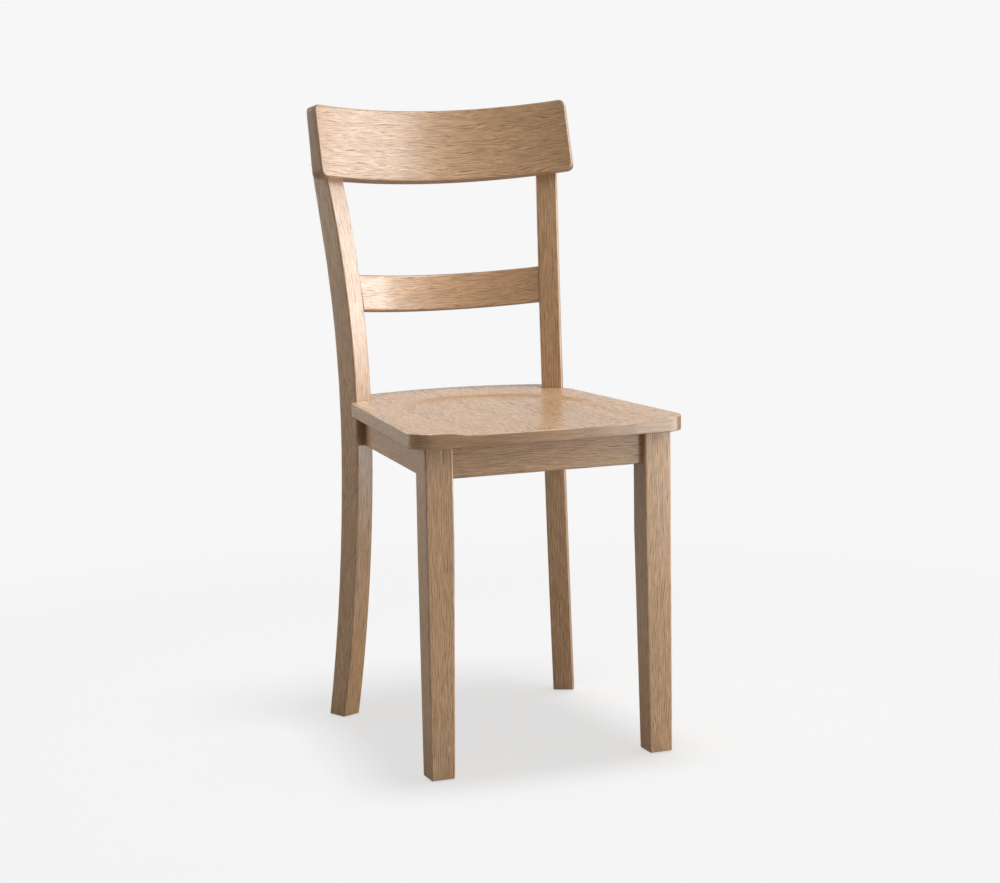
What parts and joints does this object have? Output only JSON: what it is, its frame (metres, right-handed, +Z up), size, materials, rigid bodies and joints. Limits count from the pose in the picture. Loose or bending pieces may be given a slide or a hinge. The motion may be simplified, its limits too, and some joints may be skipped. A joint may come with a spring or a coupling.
{
  "type": "dining chair",
  "caption": "Wooden dining chair with a dished solid seat, tapered front legs, curved toed-in rear posts, a slim lumbar rail and a wide curved crest rail.",
  "frame": {"origin": "on the floor, below the middle of the chair's bounding box", "axes": "+Z up, -Y to the front of the seat, +X to the right as seen from the front"},
  "size_m": [0.394, 0.4655, 0.8675],
  "materials": {
    "oak_frame": "clear matt oil",
    "oak_seat": "clear matt oil",
    "oak_back": "clear matt oil",
    "block_wood": "raw sawn",
    "dowel_wood": "raw fluted",
    "screw_steel": "zinc plated",
    "glide_nylon": "moulded"
  },
  "bodies": {
    "root": {"front_left_leg": "oak_frame", "front_right_leg": "oak_frame", "rear_left_post": "oak_frame", "rear_right_post": "oak_frame", "front_apron": "oak_frame", "left_apron": "oak_frame", "right_apron": "oak_frame", "rear_apron": "oak_frame", "front_left_corner_block": "block_wood", "front_right_corner_block": "block_wood", "rear_left_corner_block": "block_wood", "rear_right_corner_block": "block_wood", "seat_panel": "oak_seat", "lumbar_rail": "oak_back", "crest_rail": "oak_back", "apron_dowels": "dowel_wood", "lumbar_dowels": "dowel_wood", "corner_block_screws": "screw_steel", "seat_screws": "screw_steel", "crest_screws": "screw_steel", "crest_screw_plugs": "oak_frame", "front_left_glide": "glide_nylon", "front_right_glide": "glide_nylon", "rear_left_glide": "glide_nylon", "rear_right_glide": "glide_nylon", "glide_nails": "screw_steel"}
  },
  "joints": []
}
